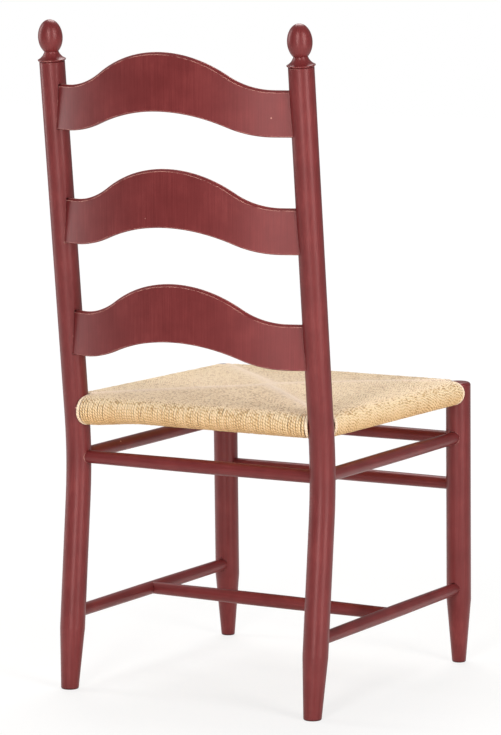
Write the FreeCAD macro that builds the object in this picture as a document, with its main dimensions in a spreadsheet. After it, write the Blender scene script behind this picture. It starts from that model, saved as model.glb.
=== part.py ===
import FreeCAD, Part
import Sketcher
import math
import os
import re

# Ladderback side chair, in millimetres. The origin is on the floor, under the middle of the
# chair's whole extent: from side to side, and from the front legs to the back of the top slat.
# +Z is up and the chair faces -Y, so the sitter's left hand is on the +X side.

doc = FreeCAD.newDocument("ladderback_chair")
sheet = doc.addObject("Spreadsheet::Sheet", "dims")

driving_sizes = {
    # plan of the frame: the centre lines of the legs' tops and of the posts' bends
    "frame_half_width": 211,
    "frame_front_depth": 259.2,
    "frame_back_depth": 170.8,
    # bent back posts
    "post_diameter": 38,
    "collar_height": 951,
    "bend_height": 354,
    "bend_radius": 640,
    "post_lean": 69,
    "post_foot_rake": 32,
    "post_foot_diameter": 26.5,
    "post_foot_taper": 92,
    # front legs
    "leg_diameter": 38.5,
    "leg_height": 445,
    "leg_rake": 10,
    "leg_foot_diameter": 21,
    "leg_foot_taper": 101,
    "leg_top_round": 5,
    "foot_round": 2.5,
    "foot_trim": 3,
    # turned finials
    "collar_diameter": 41.6,
    "collar_thickness": 3,
    "collar_undercut": 1.6,
    "seam_diameter": 37,
    "flare_height": 11.5,
    "flare_radius": 19,
    "neck_diameter": 21,
    "egg_diameter": 36.4,
    "egg_half_height": 26,
    "finial_tenon_diameter": 14,
    "finial_tenon_length": 22,
    # slats
    "slat_thickness": 9,
    "slat_bow": 47,
    "slat_end_height": 67,
    "slat_crown_rise": 52,
    "slat_arch_rise": 33.5,
    "slat_curve_half_width": 175,
    "slat_inflection": 108,
    "slat_lowest": 512,
    "slat_pitch": 169.2,
    "slat_setback": 2.5,
    "slat_bevel": 3.5,
    "slat_lower_bevel": 1.2,
    "slat_tenon_length": 17,
    # rungs
    "rung_diameter": 20.8,
    "rung_end_diameter": 19.6,
    "low_rung_diameter": 20.2,
    "low_rung_end_diameter": 19,
    "stretcher_diameter": 20.8,
    "stretcher_end_diameter": 19,
    "stretcher_tenon_diameter": 11,
    "stretcher_tenon_length": 12,
    "stretcher_setback": 4.6,
    "rung_middle_length": 80,
    "rung_tenon_length": 21,
    "back_rung_drop": 75.5,
    "front_rung_upper_drop": 72.5,
    "front_rung_lower_height": 284,
    "side_rung_upper_drop": 72.5,
    "side_rung_lower_height": 117,
    "side_rung_rise": 4,
    # seat rails and rush
    "rail_drop": 16,
    "rail_diameter": 24,
    "rail_tenon_diameter": 17,
    "rail_shoulder_setback": 24,
    "rail_shoulder_length": 6,
    "rush_cover": 6.8,
    "rush_crown": 4,
    "rush_hollow": 4,
    "rush_hollow_inset": 190,
    "rush_roll_end": 18,
    # fits
    "joint_clearance": 0.4,
    "mitre_gap": 0.6,
    "rush_clearance": 0.5,
}


def fill_sheet():
    for row, (alias, amount) in enumerate(driving_sizes.items(), start=1):
        sheet.set(f"A{row}", alias.replace("_", " "))
        sheet.set(f"B{row}", str(amount))
        sheet.setAlias(f"B{row}", alias)
    doc.recompute()


fill_sheet()
alias_pattern = re.compile(r"\b(" + "|".join(driving_sizes) + r")\b")


def sheet_formula(text):
    return alias_pattern.sub(r"dims.\1", text)


def amount_of(text):
    result = sheet.evalExpression(sheet_formula(text))
    return float(getattr(result, "Value", result))


def bind(feature, path, text):
    feature.setExpression(path, sheet_formula(text))


def feature_of(body, kind, name):
    return body.newObject(kind, f"{body.Name}_{name}")


def sketch_on(body, role, name):
    plane = next(item for item in body.Origin.OriginFeatures if item.Role == role)
    sketch = feature_of(body, "Sketcher::SketchObject", name)
    sketch.AttachmentSupport = [(plane, "")]
    sketch.MapMode = "FlatFace"
    return sketch


def pin(sketch, shape_index, point_index, across, upward):
    """Hold one point of a sketch at two distances from the origin."""
    for kind, text in (("DistanceX", across), ("DistanceY", upward)):
        number = sketch.addConstraint(
            Sketcher.Constraint(kind, -1, 1, shape_index, point_index, amount_of(text)))
        bind(sketch, f"Constraints[{number}]", text)


def at(across, upward):
    return FreeCAD.Vector(amount_of(across), amount_of(upward), 0)


def draw_circle(sketch, across, upward, radius):
    index = sketch.addGeometry(
        Part.Circle(at(across, upward), FreeCAD.Vector(0, 0, 1), amount_of(radius)), False)
    pin(sketch, index, 3, across, upward)
    number = sketch.addConstraint(Sketcher.Constraint("Radius", index, amount_of(radius)))
    bind(sketch, f"Constraints[{number}]", radius)


def arc_between(start, via, end):
    """Arc through three points, kept counter-clockwise. Says if its ends had to be swapped."""
    through = Part.Circle(start, via, end)
    centre = through.Center
    circle = Part.Circle(centre, FreeCAD.Vector(0, 0, 1), through.Radius)
    turns_left = (via - start).cross(end - via).z > 0
    first, last = (start, end) if turns_left else (end, start)
    angles = [math.atan2(point.y - centre.y, point.x - centre.x) for point in (first, last)]
    if angles[1] < angles[0]:
        angles[1] += 2 * math.pi
    return Part.ArcOfCircle(circle, *angles), not turns_left


def draw_arc(sketch, start, via, end, curve):
    """Add an arc and hold its radius, or its centre if the curve is given as ("centre", text)."""
    arc, swapped = arc_between(at(*start), at(*via), at(*end))
    index = sketch.addGeometry(arc, False)
    if isinstance(curve, tuple):
        number = sketch.addConstraint(
            Sketcher.Constraint("DistanceX", -1, 1, index, 3, amount_of(curve[1])))
        bind(sketch, f"Constraints[{number}]", curve[1])
    else:
        number = sketch.addConstraint(Sketcher.Constraint("Radius", index, amount_of(curve)))
        bind(sketch, f"Constraints[{number}]", curve)
    return (index, 2, 1) if swapped else (index, 1, 2)


def draw_outline(sketch, corners):
    """Closed outline. A corner is (across, upward) or, where an arc leads on to the next
    corner, (across, upward, (via across, via upward), curve)."""
    edges = []
    for corner, following in zip(corners, corners[1:] + corners[:1]):
        if len(corner) == 2:
            index = sketch.addGeometry(
                Part.LineSegment(at(*corner), at(*following[:2])), False)
            edges.append((index, 1, 2))
        else:
            edges.append(draw_arc(sketch, corner[:2], corner[2], following[:2], corner[3]))
    for (index, first, last), (onward, onward_first, onward_last) in zip(
            edges, edges[1:] + edges[:1]):
        sketch.addConstraint(Sketcher.Constraint("Coincident", index, last, onward, onward_first))
    for (index, first, last), corner in zip(edges, corners):
        pin(sketch, index, first, *corner[:2])


def box_corners(left, low, right, high):
    return [(left, low), (right, low), (right, high), (left, high)]


def revolve(body, sketch):
    turned = feature_of(body, "PartDesign::Revolution", "turning")
    turned.Profile = sketch
    turned.ReferenceAxis = (sketch, ["V_Axis"])
    turned.Angle = 360
    return turned


def cut_through(body, sketch, name):
    """Cut the sketch right through the piece, both ways from the sketch plane."""
    cut = feature_of(body, "PartDesign::Pocket", name)
    cut.Profile = sketch
    cut.SideType = "Symmetric"
    cut.Type = "ThroughAll"
    return cut


def cut_to_depths(body, sketch, name, forward, backward):
    """Cut by one distance along the sketch's normal and another against it."""
    cut = feature_of(body, "PartDesign::Pocket", name)
    cut.Profile = sketch
    cut.SideType = "Two sides"
    cut.Reversed = True
    bind(cut, "Length", forward)
    bind(cut, "Length2", backward)
    return cut


def placed(feature, across="0", along="0", upward="0", axis=None, angle="0"):
    turn = FreeCAD.Rotation(axis or FreeCAD.Vector(0, 0, 1), amount_of(angle))
    feature.Placement = FreeCAD.Placement(at(across, along) + FreeCAD.Vector(0, 0, amount_of(upward)), turn)
    for path, text in (("x", across), ("y", along), ("z", upward)):
        if text != "0":
            bind(feature, f"Placement.Base.{path}", text)
    if angle != "0":
        bind(feature, "Placement.Rotation.Angle", angle)
    return feature


x_axis = FreeCAD.Vector(1, 0, 0)
y_axis = FreeCAD.Vector(0, 1, 0)
z_axis = FreeCAD.Vector(0, 0, 1)


# Places on the slanting and bent members, as formulas of the driving sizes.

lower_lean = "atan(post_foot_rake / bend_height)"
upper_lean = "atan(post_lean / (collar_height - bend_height))"
leg_lean = "atan(leg_rake / leg_height)"
bend_reach = f"bend_radius * tan(({lower_lean} + {upper_lean}) / 2)"


def post_line_low(height):
    return f"(frame_back_depth + post_foot_rake * (bend_height - {height}) / bend_height)"


def post_line_high(height):
    return (f"(frame_back_depth + post_lean * ({height} - bend_height)"
            " / (collar_height - bend_height))")


def bend_line(height):
    """Centre of the post inside the bend, on the arc that joins its two straight parts."""
    centre_across = (f"(frame_back_depth + {bend_reach} * sin({upper_lean})"
                     f" + bend_radius * cos({upper_lean}))")
    centre_up = f"(bend_height + {bend_reach} * cos({upper_lean}) - bend_radius * sin({upper_lean}))"
    return f"({centre_across} - sqrt(pow(bend_radius; 2) - pow({height} - {centre_up}; 2)))"


def leg_line(height):
    return f"(0 - frame_front_depth - leg_rake * (leg_height - {height}) / leg_height)"


rail_height = "(leg_height - rail_drop)"
back_rung_height = f"({rail_height} - back_rung_drop)"
front_rung_upper_height = f"({rail_height} - front_rung_upper_drop)"
side_rung_upper_height = f"({rail_height} - side_rung_upper_drop)"
side_rung_upper_back = f"({side_rung_upper_height} - side_rung_rise / 2)"
side_rung_upper_front = f"({side_rung_upper_height} + side_rung_rise / 2)"
rail_back = post_line_high(rail_height)
rail_front = leg_line(rail_height)


# Back posts: a straight foot, a bend at seat level and a straight part that leans back.


def bore(body, name, role, across, upward, plane_shift, radius, forward, backward):
    """Round mortise along the normal of an origin plane, from a plane moved to the centre line."""
    sketch = sketch_on(body, role, f"{name}_sketch")
    if plane_shift != "0":
        bind(sketch, "AttachmentOffset.Base.z", plane_shift)
    draw_circle(sketch, across, upward, radius)
    return cut_to_depths(body, sketch, name, forward, backward)


def trim_foot(body, centre):
    """Level the foot at the floor, then ease the edge that stands on it."""
    below = sketch_on(body, "YZ_Plane", "floor_sketch")
    draw_outline(below, box_corners(f"{centre} - post_diameter", "0 - post_diameter",
                                    f"{centre} + post_diameter", "0"))
    cut_through(body, below, "floor_cut")
    doc.recompute()
    rim = [f"Edge{number}" for number, edge in enumerate(body.Tip.Shape.Edges, start=1)
           if edge.BoundBox.ZMax < 0.01]
    ease_edges(body, rim, "foot_round", "foot_easing")


def ease_edges(body, edges, radius, name, kind="PartDesign::Fillet"):
    base = body.Tip
    easing = feature_of(body, kind, name)
    easing.Base = (base, edges)
    bind(easing, "Radius" if kind.endswith("Fillet") else "Size", radius)
    doc.recompute()
    return easing


def back_post(name, side):
    body = doc.addObject("PartDesign::Body", name)
    taper_top = post_line_low("post_foot_taper")
    path = sketch_on(body, "YZ_Plane", "path")
    low = (f"frame_back_depth + {bend_reach} * sin({lower_lean})",
           f"bend_height - {bend_reach} * cos({lower_lean})")
    high = (f"frame_back_depth + {bend_reach} * sin({upper_lean})",
            f"bend_height + {bend_reach} * cos({upper_lean})")
    middle = (bend_line("bend_height"), "bend_height")
    foot = path.addGeometry(Part.LineSegment(at(taper_top, "post_foot_taper"), at(*low)), False)
    arc, low_end, high_end = draw_arc(path, low, middle, high, "bend_radius")
    top = path.addGeometry(
        Part.LineSegment(at(*high), at("frame_back_depth + post_lean", "collar_height")), False)
    pin(path, foot, 1, taper_top, "post_foot_taper")
    pin(path, foot, 2, *low)
    pin(path, top, 1, *high)
    pin(path, top, 2, "frame_back_depth + post_lean", "collar_height")
    path.addConstraint(Sketcher.Constraint("Coincident", foot, 2, arc, low_end))
    path.addConstraint(Sketcher.Constraint("Coincident", top, 1, arc, high_end))
    ring = sketch_on(body, "XY_Plane", "section")
    ring.AttachmentOffset = FreeCAD.Placement(
        FreeCAD.Vector(0, amount_of(taper_top), amount_of("post_foot_taper")),
        FreeCAD.Rotation(x_axis, amount_of(lower_lean)))
    bind(ring, "AttachmentOffset.Base.y", taper_top)
    bind(ring, "AttachmentOffset.Base.z", "post_foot_taper")
    bind(ring, "AttachmentOffset.Rotation.Angle", lower_lean)
    draw_circle(ring, "0", "0", "post_diameter / 2")
    pole = feature_of(body, "PartDesign::AdditivePipe", "pole")
    pole.Profile = ring
    pole.Spine = path
    doc.recompute()
    foot_across = f"(frame_back_depth + post_foot_rake + foot_trim * sin({lower_lean}))"
    cone = feature_of(body, "PartDesign::AdditiveCone", "foot")
    bind(cone, "Radius1", "post_foot_diameter / 2")
    bind(cone, "Radius2", "post_diameter / 2")
    bind(cone, "Height", f"post_foot_taper / cos({lower_lean}) + foot_trim")
    placed(cone, "0", foot_across, f"0 - foot_trim * cos({lower_lean})", x_axis, lower_lean)
    trim_foot(body, "(frame_back_depth + post_foot_rake)")
    collar_rim = [f"Edge{number}" for number, edge in enumerate(body.Tip.Shape.Edges, start=1)
                  if edge.Curve.TypeId == "Part::GeomCircle"
                  and abs(edge.Curve.Center.z - amount_of("collar_height")) < 0.5]
    ease_edges(body, collar_rim, "collar_undercut / 2", "collar_easing", "PartDesign::Chamfer")

    inward = ("rung_end_diameter / 2 + mitre_gap", "post_diameter")
    rail_inward = ("rail_tenon_diameter / 2 + mitre_gap", "post_diameter")
    if side < 0:
        inward = inward[::-1]
        rail_inward = rail_inward[::-1]
    rung_hole = "(rung_end_diameter + joint_clearance) / 2"
    low_hole = "(low_rung_end_diameter + joint_clearance) / 2"
    rail_hole = "(rail_tenon_diameter + joint_clearance) / 2"
    bore(body, "back_rung_mortise", "YZ_Plane", bend_line(back_rung_height), back_rung_height,
         "0", rung_hole, *inward)
    bore(body, "back_rail_mortise", "YZ_Plane", rail_back, rail_height,
         "0", rail_hole, *rail_inward)
    bore(body, "side_rail_mortise", "XZ_Plane", "0", rail_height,
         f"0 - {rail_back}", rail_hole, "post_diameter", "rail_tenon_diameter / 2 + mitre_gap")
    bore(body, "side_rung_upper_mortise", "XZ_Plane", "0",
         side_rung_upper_back, f"0 - {bend_line(side_rung_upper_back)}", rung_hole,
         "post_diameter", "rung_end_diameter / 2 + mitre_gap")
    bore(body, "side_rung_lower_mortise", "XZ_Plane", "0",
         "side_rung_lower_height - side_rung_rise / 2",
         f"0 - {post_line_low('(side_rung_lower_height - side_rung_rise / 2)')}", low_hole,
         "post_diameter", "rung_tenon_length - post_diameter / 2 + mitre_gap")
    for number in range(3):
        slat_mortise(body, number, side)
    socket = feature_of(body, "PartDesign::SubtractiveCylinder", "finial_socket")
    bind(socket, "Radius", "(finial_tenon_diameter + joint_clearance) / 2")
    bind(socket, "Height", "finial_tenon_length + mitre_gap + foot_trim")
    depth = "(finial_tenon_length + mitre_gap)"
    placed(socket, "0", f"frame_back_depth + post_lean - {depth} * sin({upper_lean})",
           f"collar_height - {depth} * cos({upper_lean})", FreeCAD.Vector(-1, 0, 0), upper_lean)
    placed(body, f"{side} * frame_half_width")
    return body


# Slats: a bowed strip with an arched outline; each end goes into a slot in a post.

bow_radius = "((pow(frame_half_width; 2) + pow(slat_bow; 2)) / (2 * slat_bow))"
slat_end = "(frame_half_width - post_diameter / 2 + slat_tenon_length)"
slat_names = ("slat_bottom", "slat_middle", "slat_top")


def slat_low(number):
    return f"(slat_lowest + {number} * slat_pitch)"


def slat_across(number):
    return f"({post_line_high(f'({slat_low(number)} + slat_end_height / 2)')} + slat_setback)"


def slat_mortise(body, number, side):
    """Straight slot along the bow where it crosses the inner half of the post."""
    slot = feature_of(body, "PartDesign::SubtractiveBox", f"{slat_names[number]}_mortise")
    anchor = "(frame_half_width - post_diameter / 4)"
    angle = f"asin({anchor} / {bow_radius})"
    centre = (f"({slat_across(number)} + slat_bow - {bow_radius}"
              f" + sqrt(pow({bow_radius}; 2) - pow({anchor}; 2)))")
    past = (f"((slat_tenon_length - post_diameter / 4) / cos({angle})"
            f" + slat_thickness / 2 * tan({angle}) + mitre_gap)")
    half_slot = "((slat_thickness + joint_clearance) / 2)"
    bind(slot, "Length", f"post_diameter + {past}")
    bind(slot, "Width", f"2 * {half_slot}")
    bind(slot, "Height", "slat_end_height + joint_clearance")
    low = f"{slat_low(number)} - joint_clearance / 2"
    if side > 0:
        placed(slot, f"0 - post_diameter / 4 + {past} * cos({angle}) + {half_slot} * sin({angle})",
               f"{centre} - {past} * sin({angle}) + {half_slot} * cos({angle})", low,
               z_axis, f"180 deg - {angle}")
    else:
        placed(slot, f"post_diameter / 4 - {past} * cos({angle}) + {half_slot} * sin({angle})",
               f"{centre} - {past} * sin({angle}) - {half_slot} * cos({angle})", low,
               z_axis, angle)
    return slot


def arc_offset(radius):
    """How far an arc of the bow lies behind the posts at the slat's ends."""
    return f"(slat_bow - {bow_radius} + sqrt(pow({radius}; 2) - pow({slat_end}; 2)))"


def swept_edge(base, rise):
    """Half of an edge that runs level, turns up and meets its crown: angle, radii, height."""
    turn = f"(2 * atan({rise} / slat_curve_half_width))"
    flank = f"((slat_curve_half_width - slat_inflection) / sin({turn}))"
    crown = f"(slat_inflection / sin({turn}))"
    start = f"({base} + {flank} * (1 - cos({turn})))"
    half_across = f"(slat_curve_half_width - {flank} * sin({turn} / 2))"
    half_up = f"({base} + {flank} * (1 - cos({turn} / 2)))"
    return flank, crown, start, half_across, half_up


def slat(name, number):
    body = doc.addObject("PartDesign::Body", name)
    plan = sketch_on(body, "XY_Plane", "plan")
    outer = f"({bow_radius} + slat_thickness / 2)"
    inner = f"({bow_radius} - slat_thickness / 2)"
    top_back = arc_offset(outer)
    top_front = arc_offset(inner)
    draw_outline(plan, [
        (slat_end, top_back, ("0", "slat_bow + slat_thickness / 2"), outer),
        (f"0 - {slat_end}", top_back),
        (f"0 - {slat_end}", top_front, ("0", "slat_bow - slat_thickness / 2"), inner),
        (slat_end, top_front),
    ])
    strip = feature_of(body, "PartDesign::Pad", "strip")
    strip.Profile = plan
    bind(strip, "Length", "slat_end_height + slat_crown_rise")
    doc.recompute()

    outline = sketch_on(body, "XZ_Plane", "outline")
    reach = f"(frame_half_width + post_diameter / 2)"
    flank, crown, start, half_across, half_up = swept_edge("slat_end_height", "slat_crown_rise")
    low_flank, arch, low_start, low_across, low_up = swept_edge("0", "slat_arch_rise")
    draw_outline(outline, box_corners(f"0 - 1.1 * {reach}", "0 - slat_end_height", f"1.1 * {reach}",
                                      "2 * slat_end_height + slat_crown_rise"))
    draw_outline(outline, [
        (reach, "0"),
        (reach, "slat_end_height"),
        ("slat_curve_half_width", "slat_end_height", (half_across, half_up), flank),
        ("slat_inflection", start, ("0", "slat_end_height + slat_crown_rise"), crown),
        ("0 - slat_inflection", start, (f"0 - {half_across}", half_up), flank),
        ("0 - slat_curve_half_width", "slat_end_height"),
        (f"0 - {reach}", "slat_end_height"),
        (f"0 - {reach}", "0"),
        ("0 - slat_curve_half_width", "0", (f"0 - {low_across}", low_up), low_flank),
        ("0 - slat_inflection", low_start, ("0", "slat_arch_rise"), arch),
        ("slat_inflection", low_start, (low_across, low_up), low_flank),
        ("slat_curve_half_width", "0"),
    ])
    cut_through(body, outline, "outline_cut")
    doc.recompute()
    ease_slat(body)
    placed(body, "0", slat_across(number), slat_low(number))
    return body


def ease_slat(body):
    """Bevel the long top edges and take the sharpness off the lower ones, on both faces."""
    def long_edges(wanted_top):
        found = []
        for number, edge in enumerate(body.Tip.Shape.Edges, start=1):
            middle = edge.valueAt((edge.FirstParameter + edge.LastParameter) / 2)
            across = abs(edge.valueAt(edge.FirstParameter).x - edge.valueAt(edge.LastParameter).x)
            is_top = middle.z > amount_of("slat_end_height") - 0.01
            is_low = middle.z < amount_of("slat_arch_rise") + 0.01
            if across > 10 and (is_top if wanted_top else is_low and not is_top):
                found.append(f"Edge{number}")
        return found

    ease_edges(body, long_edges(True), "slat_bevel", "top_bevel", "PartDesign::Chamfer")
    ease_edges(body, long_edges(False), "slat_lower_bevel", "lower_bevel", "PartDesign::Chamfer")


# Front legs: straight, raked a little, with a tapered foot and a rounded top.


def front_leg(name, side):
    body = doc.addObject("PartDesign::Body", name)
    forward = FreeCAD.Vector(-1, 0, 0)
    foot_across = f"({leg_line('0')} - foot_trim * sin({leg_lean}))"
    cone = feature_of(body, "PartDesign::AdditiveCone", "foot")
    bind(cone, "Radius1", "leg_foot_diameter / 2")
    bind(cone, "Radius2", "leg_diameter / 2")
    bind(cone, "Height", f"leg_foot_taper / cos({leg_lean}) + foot_trim")
    placed(cone, "0", foot_across, f"0 - foot_trim * cos({leg_lean})", forward, leg_lean)
    shaft = feature_of(body, "PartDesign::AdditiveCylinder", "shaft")
    bind(shaft, "Radius", "leg_diameter / 2")
    bind(shaft, "Height", f"(leg_height - leg_foot_taper) / cos({leg_lean})")
    placed(shaft, "0", leg_line("leg_foot_taper"), "leg_foot_taper", forward, leg_lean)
    trim_foot(body, leg_line("0"))
    top_rim = [f"Edge{number}" for number, edge in enumerate(body.Tip.Shape.Edges, start=1)
               if edge.Curve.TypeId == "Part::GeomCircle"
               and abs(edge.Curve.Center.z - amount_of("leg_height")) < 0.5]
    ease_edges(body, top_rim, "leg_top_round", "top_easing")

    depths = {
        "mitred": ("rung_end_diameter / 2 + mitre_gap", "leg_diameter"),
        "rail": ("rail_tenon_diameter / 2 + mitre_gap", "leg_diameter"),
        "plain": ("rung_tenon_length - leg_diameter / 2 + mitre_gap", "leg_diameter"),
    }
    inward = {kind: pair if side > 0 else pair[::-1] for kind, pair in depths.items()}
    rung_hole = "(rung_end_diameter + joint_clearance) / 2"
    low_hole = "(low_rung_end_diameter + joint_clearance) / 2"
    rail_hole = "(rail_tenon_diameter + joint_clearance) / 2"
    for label, height, radius, kind in (
            ("front_rail", rail_height, rail_hole, "rail"),
            ("front_rung_upper", front_rung_upper_height, rung_hole, "mitred"),
            ("front_rung_lower", "front_rung_lower_height", rung_hole, "plain")):
        bore(body, f"{label}_mortise", "YZ_Plane", leg_line(height), height, "0", radius,
             *inward[kind])
    for label, height, radius, kind in (
            ("side_rail", rail_height, rail_hole, "rail"),
            ("side_rung_upper", side_rung_upper_front, rung_hole, "mitred"),
            ("side_rung_lower", "(side_rung_lower_height + side_rung_rise / 2)", low_hole, "plain")):
        bore(body, f"{label}_mortise", "XZ_Plane", "0", height, f"0 - {leg_line(height)}", radius,
             *depths[kind])
    placed(body, f"{side} * frame_half_width")
    return body


# Finials: a collar with a hollow flare, a neck and an egg, pegged into the post.


def finial(name, side):
    body = doc.addObject("PartDesign::Body", name)
    turning = sketch_on(body, "XZ_Plane", "turning_sketch")
    neck_up = "(collar_thickness + flare_height)"
    chord = "sqrt(pow((collar_diameter - neck_diameter) / 2; 2) + pow(flare_height; 2))"
    sag = f"(flare_radius - sqrt(pow(flare_radius; 2) - pow({chord} / 2; 2)))"
    via = (f"(collar_diameter + neck_diameter) / 4 - {sag} * flare_height / {chord}",
           f"collar_thickness + flare_height / 2"
           f" - {sag} * (collar_diameter - neck_diameter) / 2 / {chord}")
    draw_outline(turning, [
        ("0", "0 - finial_tenon_length"),
        ("finial_tenon_diameter / 2", "0 - finial_tenon_length"),
        ("finial_tenon_diameter / 2", "0"),
        ("seam_diameter / 2", "0"),
        ("collar_diameter / 2", "collar_undercut"),
        ("collar_diameter / 2", "collar_thickness", via, "flare_radius"),
        ("neck_diameter / 2", neck_up),
        ("0", neck_up),
    ])
    revolve(body, turning)
    doc.recompute()
    egg = feature_of(body, "PartDesign::AdditiveEllipsoid", "egg")
    bind(egg, "Radius1", "egg_half_height")
    for radius in ("Radius2", "Radius3"):
        bind(egg, radius, "egg_diameter / 2")
    placed(egg, "0", "0",
           f"{neck_up} + egg_half_height * sqrt(1 - pow(neck_diameter / egg_diameter; 2))")
    placed(body, f"{side} * frame_half_width", "frame_back_depth + post_lean", "collar_height",
           FreeCAD.Vector(-1, 0, 0), upper_lean)
    return body


# Rungs and rails: turned bars whose own Z runs along them. Where two meet at one level in a
# post, their ends are mitred to each other on the post's centre line.


def turned_bar(name, reach, end_radius, middle_radius, straight_end, role="XZ_Plane"):
    """A bar with straight ends that swells in long tapers to a straight middle."""
    body = doc.addObject("PartDesign::Body", name)
    profile = sketch_on(body, role, "turning_sketch")
    swell_start = f"({reach} - {straight_end})"
    draw_outline(profile, [
        ("0", f"0 - {reach}"),
        (end_radius, f"0 - {reach}"),
        (end_radius, f"0 - {swell_start}"),
        (middle_radius, "0 - rung_middle_length / 2"),
        (middle_radius, "rung_middle_length / 2"),
        (end_radius, swell_start),
        (end_radius, reach),
        ("0", reach),
    ])
    revolve(body, profile)
    doc.recompute()
    return body


def shouldered_bar(name, reach, end_radius, bar_radius, shoulder, role="XZ_Plane"):
    """A straight bar with a smaller tenon at each end and a sloped shoulder."""
    body = doc.addObject("PartDesign::Body", name)
    profile = sketch_on(body, role, "turning_sketch")
    full = f"({shoulder} - rail_shoulder_length)"
    draw_outline(profile, [
        ("0", f"0 - {reach}"),
        (end_radius, f"0 - {reach}"),
        (end_radius, f"0 - {shoulder}"),
        (bar_radius, f"0 - {full}"),
        (bar_radius, full),
        (end_radius, shoulder),
        (end_radius, reach),
        ("0", reach),
    ])
    revolve(body, profile)
    doc.recompute()
    return body


def mitre(body, role, crossing, end, slope):
    """Cut an end at 45 degrees through the crossing point of the two bars' centre lines."""
    sketch = sketch_on(body, role, f"mitre_{'far' if end > 0 else 'near'}_sketch")
    half = "post_diameter / 2"
    rise = f"{half}" if slope > 0 else f"(0 - {half})"
    edge = f"{end} * {crossing} - {end} * mitre_gap"
    corners = [
        (f"0 - {half}", f"{edge} - {rise}"),
        (half, f"{edge} + {rise}"),
        (half, f"{edge} + {end} * 3 * {half}"),
        (f"0 - {half}", f"{edge} + {end} * 3 * {half}"),
    ]
    draw_outline(sketch, corners)
    cut = cut_through(body, sketch, f"mitre_{'far' if end > 0 else 'near'}")
    doc.recompute()
    return cut


def crosswise_bar(body, centre_across, height, meets_side):
    """Lay a bar from side to side. meets_side is +1 where the side bars come from the front."""
    if meets_side:
        mitre(body, "YZ_Plane", "frame_half_width", 1, meets_side)
        mitre(body, "YZ_Plane", "frame_half_width", -1, -meets_side)
    placed(body, "0", centre_across, height, y_axis, "90")
    return body


def crosswise_rung(name, centre_across, height, meets_side):
    beyond = "rung_end_diameter / 2" if meets_side else "(rung_tenon_length - post_diameter / 2)"
    body = turned_bar(name, f"(frame_half_width + {beyond})", "(rung_end_diameter / 2)",
                      "(rung_diameter / 2)", f"(post_diameter / 2 + {beyond})")
    return crosswise_bar(body, centre_across, height, meets_side)


def crosswise_rail(name, centre_across, meets_side):
    body = shouldered_bar(name, "(frame_half_width + rail_tenon_diameter / 2)",
                          "(rail_tenon_diameter / 2)", "(rail_diameter / 2)",
                          "(frame_half_width - rail_shoulder_setback)")
    return crosswise_bar(body, centre_across, rail_height, meets_side)


def side_bar(body, side, front, back, height, rise):
    middle = f"(({front} + {back}) / 2)"
    placed(body, f"{side} * frame_half_width", middle, height, FreeCAD.Vector(-1, 0, 0),
           f"90 deg + atan({rise} / ({back} - {front}))")
    return body


def side_rung_upper(name, side):
    front = leg_line(side_rung_upper_front)
    back = bend_line(side_rung_upper_back)
    half_span = f"(({back} - {front}) / 2)"
    beyond = "rung_end_diameter / 2"
    body = turned_bar(name, f"({half_span} + {beyond})", "(rung_end_diameter / 2)",
                      "(rung_diameter / 2)", f"(post_diameter / 2 + {beyond})", "YZ_Plane")
    mitre(body, "XZ_Plane", half_span, 1, side)
    mitre(body, "XZ_Plane", half_span, -1, -side)
    return side_bar(body, side, front, back, side_rung_upper_height, "side_rung_rise")


low_front = leg_line("(side_rung_lower_height + side_rung_rise / 2)")
low_back = post_line_low("(side_rung_lower_height - side_rung_rise / 2)")


def side_rung_lower(name, side):
    half_span = f"(({low_back} - {low_front}) / 2)"
    beyond = "(rung_tenon_length - post_diameter / 2)"
    body = turned_bar(name, f"({half_span} + {beyond})", "(low_rung_end_diameter / 2)",
                      "(low_rung_diameter / 2)", f"(post_diameter / 2 + {beyond})", "YZ_Plane")
    mortise = feature_of(body, "PartDesign::SubtractiveCylinder", "stretcher_mortise")
    past_centre = "(stretcher_tenon_length - low_rung_diameter / 2 + mitre_gap)"
    bind(mortise, "Radius", "(stretcher_tenon_diameter + joint_clearance) / 2")
    bind(mortise, "Height", f"{past_centre} + low_rung_diameter")
    placed(mortise, "0 - low_rung_diameter" if side > 0 else f"0 - {past_centre}", "0",
           "stretcher_setback", y_axis, "90")
    doc.recompute()
    return side_bar(body, side, low_front, low_back, "side_rung_lower_height", "side_rung_rise")


def side_rail(name, side):
    half_span = f"(({rail_back} - {rail_front}) / 2)"
    body = shouldered_bar(name, f"({half_span} + rail_tenon_diameter / 2)",
                          "(rail_tenon_diameter / 2)", "(rail_diameter / 2)",
                          f"({half_span} - rail_shoulder_setback)", "YZ_Plane")
    mitre(body, "XZ_Plane", half_span, 1, side)
    mitre(body, "XZ_Plane", half_span, -1, -side)
    return side_bar(body, side, rail_front, rail_back, rail_height, "0")


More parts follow.
